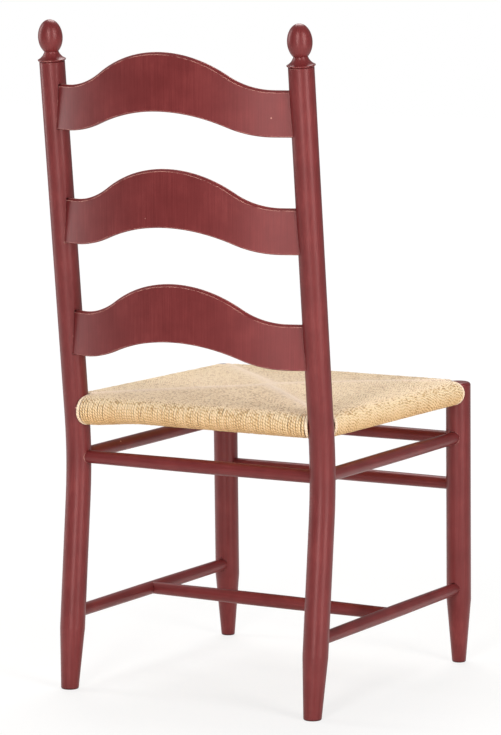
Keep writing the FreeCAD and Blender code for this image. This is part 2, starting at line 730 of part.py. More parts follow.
def cross_stretcher(name):
    """Spans the two lower side rungs. Its ends are hollowed to sit on them and have small pegs."""
    reach = "(frame_half_width - low_rung_diameter / 4)"
    body = turned_bar(name, reach, "(stretcher_end_diameter / 2)", "(stretcher_diameter / 2)",
                      "(low_rung_diameter / 2)")
    for end in (-1, 1):
        label = "far" if end > 0 else "near"
        saddle = feature_of(body, "PartDesign::SubtractiveCylinder", f"saddle_{label}")
        bind(saddle, "Radius", "(low_rung_diameter + joint_clearance) / 2")
        bind(saddle, "Height", "2 * stretcher_diameter")
        placed(saddle, "0", "stretcher_diameter", f"{end} * frame_half_width", x_axis, "90")
        doc.recompute()
    for end in (-1, 1):
        label = "far" if end > 0 else "near"
        peg = feature_of(body, "PartDesign::AdditiveCylinder", f"peg_{label}")
        bind(peg, "Radius", "stretcher_tenon_diameter / 2")
        length = "(stretcher_tenon_length + low_rung_diameter / 2)"
        bind(peg, "Height", length)
        inner = "(frame_half_width - low_rung_diameter)"
        placed(peg, "0", "0", inner if end > 0 else f"0 - {inner} - {length}")
        doc.recompute()
    middle = f"(({low_front} + {low_back}) / 2 + stretcher_setback)"
    placed(body, "0", middle, "side_rung_lower_height", y_axis, "90")
    return body


# Rush seat: a pillow of cord over the four rails, with round rolled edges, a low crown on top
# and a hollow beneath. Each corner is left open for its post.

roll_radius = "(rail_diameter / 2 + rush_cover)"


def pillow_section(sketch, near, far):
    """Outline across the seat, from the centre of one rail to the centre of the other."""
    top = f"({rail_height} + {roll_radius})"
    low = f"({rail_height} - {roll_radius})"
    middle = f"(({near} + {far}) / 2)"
    half = f"(({far} - {near}) / 2)"
    crown = f"((pow({half}; 2) + pow(rush_crown; 2)) / (2 * rush_crown))"
    draw_outline(sketch, [
        (far, top, (middle, f"{top} + rush_crown"), crown),
        (near, top, (f"{near} - {roll_radius}", rail_height), ("centre", near)),
        (near, low),
        (far, low, (f"{far} + {roll_radius}", rail_height), ("centre", far)),
    ])


def rush_seat(name):
    body = doc.addObject("PartDesign::Body", name)
    lengthwise = sketch_on(body, "YZ_Plane", "front_to_back")
    pillow_section(lengthwise, rail_front, rail_back)
    pillow = feature_of(body, "PartDesign::Pad", "pillow")
    pillow.Profile = lengthwise
    pillow.SideType = "Symmetric"
    bind(pillow, "Length", f"2 * (frame_half_width + {roll_radius})")
    doc.recompute()
    crosswise = sketch_on(body, "XZ_Plane", "side_to_side")
    beyond = f"(frame_half_width + 2 * {roll_radius})"
    draw_outline(crosswise, box_corners(f"0 - {beyond}", f"{rail_height} - 2 * {roll_radius}", beyond,
                                        f"{rail_height} + 2 * {roll_radius}"))
    pillow_section(crosswise, "(0 - frame_half_width)", "frame_half_width")
    cut_through(body, crosswise, "side_rolls")
    doc.recompute()

    corners = sketch_on(body, "XY_Plane", "corners")
    out_across = f"(frame_half_width + 2 * {roll_radius})"
    in_across = "(frame_half_width - rush_roll_end)"
    for near, far in ((f"({rail_back} - rush_roll_end)", f"({rail_back} + 2 * {roll_radius})"),
                      (f"({rail_front} - 2 * {roll_radius})", f"({rail_front} + rush_roll_end)")):
        draw_outline(corners, box_corners(in_across, near, out_across, far))
        draw_outline(corners, box_corners(f"0 - {out_across}", near, f"0 - {in_across}", far))
    cut_through(body, corners, "corner_notches")
    doc.recompute()

    rims = []
    for label, inset, upward in (("rim", "0", f"{rail_height} - {roll_radius}"),
                                 ("peak", "rush_hollow_inset",
                                  f"{rail_height} - {roll_radius} + rush_hollow")):
        rim = sketch_on(body, "XY_Plane", f"hollow_{label}")
        bind(rim, "AttachmentOffset.Base.z", upward)
        across = f"(frame_half_width - {inset})"
        draw_outline(rim, box_corners(f"0 - {across}", f"{rail_front} + {inset}", across,
                                      f"{rail_back} - {inset}"))
        rims.append(rim)
    hollow = feature_of(body, "PartDesign::SubtractiveLoft", "hollow")
    hollow.Profile = rims[0]
    hollow.Sections = rims[1:]
    hollow.Ruled = True
    doc.recompute()

    for side in (-1, 1):
        for label, across, radius, lean, axis in (
                ("post", rail_back, "post_diameter / 2", upper_lean, FreeCAD.Vector(-1, 0, 0)),
                ("leg", rail_front, "leg_diameter / 2", leg_lean, FreeCAD.Vector(-1, 0, 0))):
            relief = feature_of(body, "PartDesign::SubtractiveCylinder",
                                f"{label}_relief_{'left' if side > 0 else 'right'}")
            bind(relief, "Radius", f"{radius} + rush_clearance")
            bind(relief, "Height", f"4 * {roll_radius}")
            down = f"2 * {roll_radius}"
            placed(relief, f"{side} * frame_half_width", f"{across} - {down} * sin({lean})",
                   f"{rail_height} - {down} * cos({lean})", axis, lean)
            doc.recompute()
    for label, across in (("front", rail_front), ("back", rail_back)):
        tunnel = feature_of(body, "PartDesign::SubtractiveCylinder", f"{label}_rail_tunnel")
        bind(tunnel, "Radius", "rail_diameter / 2 + rush_clearance")
        bind(tunnel, "Height", "2 * frame_half_width")
        placed(tunnel, "0 - frame_half_width", across, rail_height, y_axis, "90")
        doc.recompute()
    for side in (-1, 1):
        tunnel = feature_of(body, "PartDesign::SubtractiveCylinder",
                            f"{'left' if side > 0 else 'right'}_rail_tunnel")
        bind(tunnel, "Radius", "rail_diameter / 2 + rush_clearance")
        bind(tunnel, "Height", f"{rail_back} - {rail_front}")
        placed(tunnel, f"{side} * frame_half_width", rail_back, rail_height, x_axis, "90")
        doc.recompute()
    return body


pieces = [
    back_post("back_post_left", 1),
    back_post("back_post_right", -1),
    finial("finial_left", 1),
    finial("finial_right", -1),
    front_leg("front_leg_left", 1),
    front_leg("front_leg_right", -1),
    slat("slat_top", 2),
    slat("slat_middle", 1),
    slat("slat_bottom", 0),
    crosswise_rung("back_rung", bend_line(back_rung_height), back_rung_height, 1),
    crosswise_rung("front_rung_upper", leg_line(front_rung_upper_height),
                   front_rung_upper_height, -1),
    crosswise_rung("front_rung_lower", leg_line("front_rung_lower_height"),
                   "front_rung_lower_height", 0),
    side_rung_upper("side_rung_upper_left", 1),
    side_rung_upper("side_rung_upper_right", -1),
    side_rung_lower("side_rung_lower_left", 1),
    side_rung_lower("side_rung_lower_right", -1),
    cross_stretcher("cross_stretcher"),
    crosswise_rail("seat_rail_back", rail_back, 1),
    crosswise_rail("seat_rail_front", rail_front, -1),
    side_rail("seat_rail_left", 1),
    side_rail("seat_rail_right", -1),
    rush_seat("rush_seat"),
]


def check_document():
    for item in doc.Objects:
        if {"Invalid", "Error"} & set(item.State):
            raise RuntimeError(f"{item.Name} did not compute: {item.State}")
    for body in pieces:
        shape = body.Shape
        if shape.isNull() or not shape.isValid() or len(shape.Solids) != 1:
            raise RuntimeError(f"{body.Label} is not one valid solid")
        steps = [feature for feature in body.Group if feature.isDerivedFrom("PartDesign::Feature")]
        for earlier, later in zip(steps, steps[1:]):
            if abs(later.Shape.Volume - earlier.Shape.Volume) < 0.01:
                raise RuntimeError(f"{later.Name} changes nothing")


doc.recompute()
check_document()
os.makedirs("parts", exist_ok=True)
for body in pieces:
    body.Shape.exportStep(f"parts/{body.Label}.step")
    print(body.Label, round(body.Shape.Volume), "cubic mm")
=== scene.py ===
import math
import bpy
import numpy as np
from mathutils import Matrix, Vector


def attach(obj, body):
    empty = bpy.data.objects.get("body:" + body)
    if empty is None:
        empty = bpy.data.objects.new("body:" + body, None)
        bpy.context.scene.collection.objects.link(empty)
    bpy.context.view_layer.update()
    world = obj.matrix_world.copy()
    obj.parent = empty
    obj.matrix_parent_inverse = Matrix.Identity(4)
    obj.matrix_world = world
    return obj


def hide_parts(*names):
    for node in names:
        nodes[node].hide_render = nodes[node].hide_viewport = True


# Ladderback chair: painted turned frame and a rush seat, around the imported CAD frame.
# Metres, +Z up, the chair faces -Y.

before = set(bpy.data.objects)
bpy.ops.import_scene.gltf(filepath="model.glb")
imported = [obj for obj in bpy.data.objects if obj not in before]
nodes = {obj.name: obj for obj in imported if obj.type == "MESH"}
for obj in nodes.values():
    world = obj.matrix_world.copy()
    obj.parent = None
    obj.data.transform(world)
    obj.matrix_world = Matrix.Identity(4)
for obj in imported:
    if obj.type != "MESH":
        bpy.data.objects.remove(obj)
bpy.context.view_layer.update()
scene = bpy.context.scene
print("frame loaded:", len(nodes), "nodes")

view = {
    "place": (-2.6598, 4.5812, 1.1534),
    "lookAt": (0.0, 0.0203, 0.4845),
    "lens": 171.97,
    "sensor": 36.0,
}


def addCamera(settings):
    data = bpy.data.cameras.new("photoCamera")
    data.lens = settings["lens"]
    data.sensor_fit = "VERTICAL"
    data.sensor_height = settings["sensor"]
    data.clip_end = 60
    camera = bpy.data.objects.new("photoCamera", data)
    scene.collection.objects.link(camera)
    camera.location = settings["place"]
    towards = Vector(settings["lookAt"]) - Vector(settings["place"])
    camera.rotation_euler = towards.to_track_quat("-Z", "Y").to_euler()
    scene.camera = camera


addCamera(view)


def linear(hexColour):
    # sRGB hex to linear light
    channels = [int(hexColour[i:i + 2], 16) / 255 for i in (1, 3, 5)]
    return tuple(c / 12.92 if c <= 0.04045 else ((c + 0.055) / 1.055) ** 2.4 for c in channels) + (1,)


def addNode(tree, kind, settings=None, **links):
    # one node with its settings (attributes by name, sockets by number or name) and its input links
    node = tree.nodes.new(kind)
    for key, value in (settings or {}).items():
        if isinstance(key, int) or key in node.inputs:
            node.inputs[key].default_value = value
        else:
            setattr(node, key, value)
    for key, source in links.items():
        socket = node.inputs[int(key[1:]) if key[0] == "_" else key.replace("__", " ")]
        tree.links.new(source, socket)
    return node


def newMaterial(name):
    material = bpy.data.materials.new(name)
    material.use_nodes = True
    material.node_tree.nodes.clear()
    return material, material.node_tree


def finishMaterial(tree, shader):
    tree.links.new(shader, addNode(tree, "ShaderNodeOutputMaterial").inputs["Surface"])


def ramp(tree, source, stops, interpolation="LINEAR"):
    # colour or value ramp: stops are (position, colour)
    node = addNode(tree, "ShaderNodeValToRGB", _0=source) if source else addNode(tree, "ShaderNodeValToRGB")
    node.color_ramp.interpolation = interpolation
    elements = node.color_ramp.elements
    while len(elements) > 1:
        elements.remove(elements[-1])
    for index, (position, colour) in enumerate(stops):
        element = elements[0] if index == 0 else elements.new(position)
        element.position = position
        element.color = colour if len(colour) == 4 else tuple(colour) + (1,)
    return node.outputs["Color"]


room = {
    "worldFill": 0.28,
    # how much of the white surroundings a shiny surface mirrors
    "glossShare": 0.05,
    "floorColour": "#f4f3f1",
    "floorHalf": 14.0,
    # share of plain white in the floor that the eye sees: by the chair, and past the pale circle
    "whiteNear": 0.72,
    "whiteLevel": 1.03,
    "paleCircle": (0.7, 1.9),
    "aimHeight": 0.55,
    # name: direction seen from the chair (degrees left of the camera), height, distance, size, power, warmth
    "softboxes": {
        "leftOfCamera": (17, 1.5, 3.4, (0.6, 2.9), 64, (1, 0.99, 0.98)),
        "rightOfCamera": (-40, 1.5, 3.4, (1.1, 2.9), 70, (1, 0.99, 0.98)),
        "farLeft": (110, 1.5, 3.2, (0.9, 2.6), 36, (1, 0.99, 0.98)),
        "overhead": (180, 3.3, 1.6, (1.8, 1.8), 66, (1, 1, 1)),
    },
}


def seenDirectly(tree, glossShare):
    # 1 for what the camera sees, plain or through glass, and a small share of that in reflections
    path = addNode(tree, "ShaderNodeLightPath")
    gloss = addNode(tree, "ShaderNodeMath", {"operation": "MULTIPLY", 1: glossShare},
                    _0=path.outputs["Is Glossy Ray"])
    seen = addNode(tree, "ShaderNodeMath", {"operation": "MAXIMUM"},
                   _0=path.outputs["Is Camera Ray"], _1=gloss.outputs[0])
    return addNode(tree, "ShaderNodeMath", {"operation": "MAXIMUM"},
                   _0=seen.outputs[0], _1=path.outputs["Is Transmission Ray"])


def addWorld(settings):
    world = bpy.data.worlds.new("studio")
    scene.world = world
    world.use_nodes = True
    tree = world.node_tree
    tree.nodes.clear()
    seen = seenDirectly(tree, settings["glossShare"])
    level = addNode(tree, "ShaderNodeMapRange", {"To Min": settings["worldFill"], "To Max": 1.0},
                    Value=seen.outputs[0])
    background = addNode(tree, "ShaderNodeBackground", {"Color": (1, 1, 1, 1)}, Strength=level.outputs[0])
    tree.links.new(background.outputs[0], addNode(tree, "ShaderNodeOutputWorld").inputs["Surface"])


def addFloor(settings):
    half = settings["floorHalf"]
    mesh = bpy.data.meshes.new("floor")
    corners = [(-half, -half, 0), (half, -half, 0), (half, half, 0), (-half, half, 0)]
    mesh.from_pydata(corners, [], [(0, 1, 2, 3)])
    floor = bpy.data.objects.new("floor", mesh)
    scene.collection.objects.link(floor)
    # pale floor: the camera sees it near white, and it keeps a soft share of the shadow
    material, tree = newMaterial("pale studio floor")
    diffuse = addNode(tree, "ShaderNodeBsdfDiffuse", {"Color": linear(settings["floorColour"])})
    glow = addNode(tree, "ShaderNodeEmission", {"Color": (1, 1, 1, 1), "Strength": settings["whiteLevel"]})
    where = addNode(tree, "ShaderNodeTexCoord").outputs["Object"]
    away = addNode(tree, "ShaderNodeVectorMath", {"operation": "LENGTH"}, _0=where)
    near, far = settings["paleCircle"]
    white = addNode(tree, "ShaderNodeMapRange",
                    {"interpolation_type": "SMOOTHSTEP", "From Min": near, "From Max": far,
                     "To Min": settings["whiteNear"], "To Max": 1.0},
                    Value=away.outputs["Value"])
    seen = seenDirectly(tree, settings["glossShare"])
    share = addNode(tree, "ShaderNodeMath", {"operation": "MULTIPLY"},
                    _0=seen.outputs[0], _1=white.outputs[0])
    mixed = addNode(tree, "ShaderNodeMixShader",
                    _0=share.outputs[0], _1=diffuse.outputs[0], _2=glow.outputs[0])
    finishMaterial(tree, mixed.outputs[0])
    mesh.materials.append(material)


def addSoftboxes(settings):
    place = Vector(view["place"])
    heading = math.atan2(place.y, place.x)
    for name, (left, height, distance, size, power, tint) in settings["softboxes"].items():
        lamp = bpy.data.lights.new(name, "AREA")
        lamp.shape = "RECTANGLE"
        lamp.size, lamp.size_y = size
        lamp.energy = power
        lamp.color = tint
        thing = bpy.data.objects.new(name, lamp)
        scene.collection.objects.link(thing)
        angle = heading - math.radians(left)
        thing.location = (distance * math.cos(angle), distance * math.sin(angle), height)
        towards = Vector((0, 0, settings["aimHeight"])) - Vector(thing.location)
        thing.rotation_euler = towards.to_track_quat("-Z", "Y").to_euler()


addWorld(room)
addFloor(room)
addSoftboxes(room)
print("camera, floor and lamps placed")

paint = {
    "deep": "#632021",
    "plain": "#6b2526",
    "faded": "#772e2e",
    # bare wood showing on worn arrises and chips; on the arrises it is also a painted highlight
    "bareUnderAndEdgeHighlight": "#dca596",
    # dirt and painted shade in joints and recesses darken towards this colour
    "creviceDirtAndShade": "#2e0f10",
    # brush marks: about 1.6 mm wide and 70 mm long, drawn coarse enough to show
    "brushWidth": 0.0016,
    "brushLength": 0.07,
    "brushDepth": 0.00005,
    # slow drift of the coat, and the patches where an arris is rubbed: per metre
    "driftScale": 22.0,
    "rubScale": 55.0,
    # worn arrises, painted pale also as a highlight along the edge: the band of an edge that hands and cloth
    # rub, 1.4 mm wide
    "edgeBand": 0.0014,
    # an edge counts where its rounded normal agrees less than the first with the true one
    "edgeAgree": (0.985, 0.93),
    # chips: cells per metre, the spot at a cell's middle, and the share of cells without one
    "chipCells": 24.0,
    "chipSpot": (0.034, 0.024),
    "chipFree": 0.80,
    "chipRagged": 900.0,
    # dirt and painted shade: darker where the surface is shut in, looked for within 8 mm, from a little shut
    # in to well shut in
    "dirtReach": 0.008,
    "dirtAndShadeOpen": (0.72, 0.35),
    "dirtAndShadeMost": 0.8,
    "turnedRoughness": 0.34,
    "slatRoughness": 0.37,
    # where along the patch pattern an arris is rubbed through and painted with its pale highlight: low numbers
    # rub more
    "turnedWearAndHighlight": 0.52,
    "slatWearAndHighlight": 0.37,
    "turnedShine": 0.62,
    "slatShine": 0.48,
    # the waxed paint throws back a warm light head on, and a plain white one at a glance
    "glossTint": (1.0, 0.62, 0.60, 1.0),
}


def makePaintedWood(name, along, roughness, wearAndHighlightFrom, shine):
    # Satin milk paint brushed over turned hardwood: brush lines follow the piece, paint thins to
    # bare wood on sharp arrises, where the pale also stands in for a painted highlight, with a few small
    # chips, and dirt and painted shade darken the joints and recesses.
    material, tree = newMaterial(name)
    where = addNode(tree, "ShaderNodeTexCoord").outputs["Object"]
    stretch = [1 / paint["brushWidth"]] * 3
    stretch[along] = 1 / paint["brushLength"]
    streaked = addNode(tree, "ShaderNodeMapping", {"Scale": stretch}, Vector=where)
    brush = addNode(tree, "ShaderNodeTexNoise", {"Scale": 1.0, "Detail": 3.0, "Roughness": 0.6},
                    Vector=streaked.outputs[0])
    cloud = addNode(tree, "ShaderNodeTexNoise",
                    {"Scale": paint["driftScale"], "Detail": 3.0, "Roughness": 0.55}, Vector=where)
    tone = addNode(tree, "ShaderNodeMix", {"data_type": "FLOAT", 0: 0.5},
                   _2=brush.outputs[0], _3=cloud.outputs[0])
    coat = ramp(tree, tone.outputs[0], [(0.38, linear(paint["deep"])), (0.51, linear(paint["plain"])),
                                        (0.66, linear(paint["faded"]))])

    # edge mask: how far the rounded-off normal turns from the true one
    soft = addNode(tree, "ShaderNodeBevel", {"samples": 4, "Radius": paint["edgeBand"]})
    true = addNode(tree, "ShaderNodeNewGeometry")
    agree = addNode(tree, "ShaderNodeVectorMath", {"operation": "DOT_PRODUCT"},
                    _0=soft.outputs[0], _1=true.outputs["Normal"])
    first, last = paint["edgeAgree"]
    turned = addNode(tree, "ShaderNodeMapRange", {"From Min": first, "From Max": last},
                     Value=agree.outputs["Value"])
    patches = addNode(tree, "ShaderNodeTexNoise",
                      {"Scale": paint["rubScale"], "Detail": 4.0, "Roughness": 0.7}, Vector=where)
    patchy = addNode(tree, "ShaderNodeMapRange", {"From Min": wearAndHighlightFrom, "From Max": wearAndHighlightFrom + 0.13},
                     Value=patches.outputs[0])
    wornAndHighlit = addNode(tree, "ShaderNodeMath", {"operation": "MULTIPLY"},
                   _0=turned.outputs[0], _1=patchy.outputs[0])
    # faces that look down keep their paint and get no painted edge highlight
    facing = addNode(tree, "ShaderNodeSeparateXYZ", Vector=true.outputs["Normal"])
    above = addNode(tree, "ShaderNodeMapRange", {"From Min": -0.35, "From Max": 0.0},
                    Value=facing.outputs["Z"])
    wornAndHighlit = addNode(tree, "ShaderNodeMath", {"operation": "MULTIPLY"}, _0=wornAndHighlit.outputs[0], _1=above.outputs[0])

    # chips: a few cells of a coarse cell pattern, each with a ragged spot at its middle
    ragged = addNode(tree, "ShaderNodeTexNoise", {"Scale": paint["chipRagged"], "Detail": 2.0}, Vector=where)
    bent = addNode(tree, "ShaderNodeVectorMath", {"operation": "MULTIPLY_ADD", 1: (0.002, 0.002, 0.002)},
                   _0=ragged.outputs["Color"], _2=where)
    cells = addNode(tree, "ShaderNodeTexVoronoi", {"Scale": paint["chipCells"]}, Vector=bent.outputs[0])
    rim, core = paint["chipSpot"]
    spot = addNode(tree, "ShaderNodeMapRange", {"From Min": rim, "From Max": core},
                   Value=cells.outputs["Distance"])
    few = addNode(tree, "ShaderNodeSeparateColor", Color=cells.outputs["Color"])
    rare = addNode(tree, "ShaderNodeMath", {"operation": "GREATER_THAN", 1: paint["chipFree"]},
                   _0=few.outputs[0])
    chip = addNode(tree, "ShaderNodeMath", {"operation": "MULTIPLY"}, _0=spot.outputs[0], _1=rare.outputs[0])
    bare = addNode(tree, "ShaderNodeMath", {"operation": "MAXIMUM"}, _0=wornAndHighlit.outputs[0], _1=chip.outputs[0])

    # pale bare wood on worn arrises, also a painted highlight there, and on chips
    coloured = addNode(tree, "ShaderNodeMix", {"data_type": "RGBA", 7: linear(paint["bareUnderAndEdgeHighlight"])},
                       _0=bare.outputs[0], _6=coat)
    # dirt in the joints, and painted shade: darker wherever ambient occlusion finds the surface shut in
    hollow = addNode(tree, "ShaderNodeAmbientOcclusion", {"samples": 6, "Distance": paint["dirtReach"]})
    airy, shut = paint["dirtAndShadeOpen"]
    dirt = addNode(tree, "ShaderNodeMapRange",
                   {"From Min": airy, "From Max": shut, "To Max": paint["dirtAndShadeMost"]},
                   Value=hollow.outputs["AO"])
    dirtiedAndShaded = addNode(tree, "ShaderNodeMix", {"data_type": "RGBA", 7: linear(paint["creviceDirtAndShade"])},
                    _0=dirt.outputs[0], _6=coloured.outputs[2])
    gloss = addNode(tree, "ShaderNodeMapRange", {"To Min": roughness - 0.05, "To Max": roughness + 0.09},
                    Value=tone.outputs[0])
    # relief: the brush marks, and bare spots three marks deep
    relief = addNode(tree, "ShaderNodeMath", {"operation": "MULTIPLY_ADD", 1: -3.0},
                     _0=bare.outputs[0], _2=brush.outputs[0])
    bump = addNode(tree, "ShaderNodeBump", {"Strength": 0.5, "Distance": paint["brushDepth"]},
                   Height=relief.outputs[0])
    shader = addNode(tree, "ShaderNodeBsdfPrincipled", {"IOR": 1.5, "Specular IOR Level": shine,
                                                        "Specular Tint": paint["glossTint"]},
                     Base__Color=dirtiedAndShaded.outputs[2], Roughness=gloss.outputs[0], Normal=bump.outputs[0])
    finishMaterial(tree, shader.outputs[0])
    return material


turned = (paint["turnedRoughness"], paint["turnedWearAndHighlight"], paint["turnedShine"])
flat = (paint["slatRoughness"], paint["slatWearAndHighlight"], paint["slatShine"])
uprightPaint = makePaintedWood("painted turned wood, brushed up and down", 2, *turned)
crosswisePaint = makePaintedWood("painted turned wood, brushed side to side", 0, *turned)
lengthwisePaint = makePaintedWood("painted turned wood, brushed front to back", 1, *turned)
slatPaint = makePaintedWood("painted bent slat, brushed up and down", 2, *flat)

bareWood = {
    "pale": "#c9a878",
    "dark": "#a98656",
    # grain per metre along x, y and z: lines 1.2 mm apart
    "grain": (60, 60, 800),
    "grainDepth": 0.00008,
}


def makeBareWood(name):
    # unpainted turned hardwood of the hidden seat rails: plain straight grain, matt
    material, tree = newMaterial(name)
    where = addNode(tree, "ShaderNodeTexCoord").outputs["Object"]
    streaked = addNode(tree, "ShaderNodeMapping", {"Scale": bareWood["grain"]}, Vector=where)
    grain = addNode(tree, "ShaderNodeTexNoise", {"Scale": 1.0, "Detail": 4.0}, Vector=streaked.outputs[0])
    colour = ramp(tree, grain.outputs[0], [(0.3, linear(bareWood["dark"])), (0.7, linear(bareWood["pale"]))])
    bump = addNode(tree, "ShaderNodeBump", {"Strength": 0.4, "Distance": bareWood["grainDepth"]},
                   Height=grain.outputs[0])
    shader = addNode(tree, "ShaderNodeBsdfPrincipled", {"Roughness": 0.65, "IOR": 1.5},
                     Base__Color=colour, Normal=bump.outputs[0])
    finishMaterial(tree, shader.outputs[0])
    return material


railWood = makeBareWood("bare turned hardwood")

finishes = {
    "seat_rail": railWood,
    "slat": slatPaint,
    "side_rung": lengthwisePaint,
    "back_rung": crosswisePaint,
    "front_rung": crosswisePaint,
    "cross_stretcher": crosswisePaint,
}
for nodeName, thing in nodes.items():
    finish = next((value for start, value in finishes.items() if nodeName.startswith(start)), uprightPaint)
    thing.data.materials.clear()
    thing.data.materials.append(finish)
print("frame painted")

rush = {
    # where the rails lie, and the roll of cord round them
    "railHalfWidth": 0.211,
    "railFront": -0.25956,
    "railBack": 0.17947,
    "railUp": 0.429,
    "rollRadius": 0.0188,
    # a roll stops this far from the corner
    "rollEnd": 0.018,
    # the back roll is this much fatter and lower at the sitter's left end
    "swell": 0.0036,
    "swellDrop": 0.0034,
    "swellFrom": 0.09,
    "swellOver": 0.10,
    "crown": 0.004,
    "hollow": 0.004,
    # cord thickness, and from one turn to the next
    "cord": 0.0045,
    "pitch": 0.0041,
    # the cords rise in a ridge by the seam and dive into it
    "ridge": 0.0021,
    "ridgeWidth": 0.0055,
    "dive": 0.006,
    "diveIn": 0.0016,
    # the last turns lean out round the post on the outer side
    "lean": 0.004,
    "leanOver": 0.022,
    "endGap": 0.0009,
    # the hand's unevenness: how far the seam, the height and the line of a turn stray
    "strayDepth": 0.0006,
    "strayHeight": 0.0001,
    "sway": 0.00028,
    "strayThick": 0.025,
    "lastThick": 1.12,
    # pale wear, on the seam's ridge also a painted highlight: how far it reaches from the seam, and how strong
    # it is on a roll's last turn
    "paleOver": 0.010,
    "lastPale": 0.6,
    "ringSides": 8,
    "topSteps": 16,
    "rollSteps": 13,
    "underSteps": 9,
}
midAcross = (rush["railFront"] + rush["railBack"]) / 2
halfDepth = (rush["railBack"] - rush["railFront"]) / 2
# each side of the seat: where its rail runs, which way is inward, how long its roll is and how pale, a painted
# light: the left and right windings are painted paler where they catch more light
sides = {
    "back": {"origin": (0, rush["railBack"]), "along": (1, 0), "inward": (0, -1),
             "half": rush["railHalfWidth"], "reach": halfDepth, "paintedLightPaleness": -0.12},
    "front": {"origin": (0, rush["railFront"]), "along": (-1, 0), "inward": (0, 1),
              "half": rush["railHalfWidth"], "reach": halfDepth, "paintedLightPaleness": -0.12},
    "left": {"origin": (rush["railHalfWidth"], midAcross), "along": (0, -1), "inward": (-1, 0),
             "half": halfDepth, "reach": rush["railHalfWidth"], "paintedLightPaleness": 0.25},
    "right": {"origin": (-rush["railHalfWidth"], midAcross), "along": (0, 1), "inward": (1, 0),
              "half": halfDepth, "reach": rush["railHalfWidth"], "paintedLightPaleness": 0.16},
}


def rollSwell(side, s):
    # the back roll is fatter at one end: rise t^2 (3 - 2t) along its last quarter
    if side != "back":
        return np.zeros_like(s)
    rise = np.clip((s - rush["swellFrom"]) / rush["swellOver"], 0, 1)
    return rise * rise * (3 - 2 * rise)


def loopPath(side, s, depth, inset):
    # The way one turn of cord takes, for each s along the rail: from the seam over the top to the
    # rail, round the rail, and back underneath to the seam. depth is how far in the seam lies.
    # Top: rail top plus a crown that grows with the square of the way in, plus a ridge by the seam.
    # Round: a half circle about the rail. Under: level, a little hollow. Both ends dive inward.
    place = sides[side]
    swell = rollSwell(side, s)[:, None]
    radius = rush["rollRadius"] - rush["cord"] / 2 - inset + rush["swell"] * swell
    centre = rush["railUp"] - rush["swellDrop"] * swell
    reach = place["reach"]
    t = np.linspace(0, 1, rush["topSteps"])[None, :]
    eased = t ** 0.8
    d = depth[:, None] * (1 - eased)
    gap = depth[:, None] - d
    crown = rush["crown"] * (1 - ((reach - np.clip(d, 0, reach)) / reach) ** 2)
    ridge = rush["ridge"] * np.exp(-(gap / rush["ridgeWidth"]) ** 2)
    top = centre + radius + crown + ridge
    a = np.linspace(0.5 * math.pi, 1.5 * math.pi, rush["rollSteps"] + 2)[None, 1:-1]
    roundD = radius * np.cos(a)
    roundZ = centre + radius * np.sin(a)
    t = np.linspace(0, 1, rush["underSteps"])[None, :]
    underD = depth[:, None] * t
    hollow = rush["hollow"] * np.clip(underD / reach, 0, 1)
    under = centre - radius + hollow
    dive = np.array([[1.0, 0.42]])
    topEnd = top[:, :1] - rush["dive"] * dive
    topEndD = depth[:, None] + rush["diveIn"] * np.array([[1.0, 0.9]])
    underEnd = under[:, -1:] + rush["dive"] * dive[:, ::-1]
    underEndD = depth[:, None] + rush["diveIn"] * np.array([[0.9, 1.0]])
    allD = np.hstack([topEndD, d, roundD, underD, underEndD])
    allZ = np.hstack([topEnd, top, roundZ, under, underEnd])
    return allD, allZ


def toRoom(side, s, d, z):
    # from a side's own measures (along the rail, inward, up) to the chair's frame
    place = sides[side]
    x = place["origin"][0] + place["along"][0] * s + place["inward"][0] * d
    y = place["origin"][1] + place["along"][1] * s + place["inward"][1] * d
    return np.stack([x, y, z], axis=-1)


def newPiece(name, points, faces, material):
    mesh = bpy.data.meshes.new(name)
    mesh.from_pydata(points, [], faces)
    mesh.validate()
    mesh.materials.append(material)
    mesh.polygons.foreach_set("use_smooth", np.ones(len(mesh.polygons), bool))
    thing = bpy.data.objects.new(name, mesh)
    scene.collection.objects.link(thing)
    return thing


def keepOnPoints(piece, name, values):
    attribute = piece.data.attributes.new(name, "FLOAT", "POINT")
    attribute.data.foreach_set("value", values.reshape(-1).astype(np.float32))


def seamDepth(side, s):
    # how far in the mitred seam lies at s: up to the corner's diagonal, or the middle of the seat
    place = sides[side]
    return np.minimum(place["half"] - np.abs(s), place["reach"])


def tubeFaces(index):
    # quads between the rings of every tube, and a cap on both its ends
    after = np.roll(index, -1, axis=2)
    quads = np.stack([index[:, :-1], after[:, :-1], after[:, 1:], index[:, 1:]], axis=-1).reshape(-1, 4)
    return quads.tolist() + index[:, 0, ::-1].tolist() + index[:, -1, :].tolist()


def layCordWay(piece, d, z, start):
    # UV: way along the cord in metres, way round it in turns
    sidesCount = rush["ringSides"]
    stride = np.hypot(np.diff(d, axis=1), np.diff(z, axis=1))
    way = np.cumsum(np.hstack([np.zeros((len(d), 1)), stride]), axis=1) + start
    uAll = np.repeat(way[:, :, None], sidesCount, axis=2)
    turn = np.broadcast_to(np.arange(sidesCount) / sidesCount, uAll.shape)
    ahead = turn + 1 / sidesCount
    corner = np.stack([uAll[:, :-1], uAll[:, :-1], uAll[:, 1:], uAll[:, 1:]], axis=-1).reshape(-1)
    around = np.stack([turn[:, :-1], ahead[:, :-1], ahead[:, 1:], turn[:, 1:]], axis=-1).reshape(-1)
    layer = piece.data.uv_layers.new(name="cordWay")
    flat = np.zeros(len(piece.data.loops) * 2, np.float32)
    flat[0:2 * corner.size:2] = corner
    flat[1:2 * corner.size:2] = around
    layer.data.foreach_set("uv", flat)


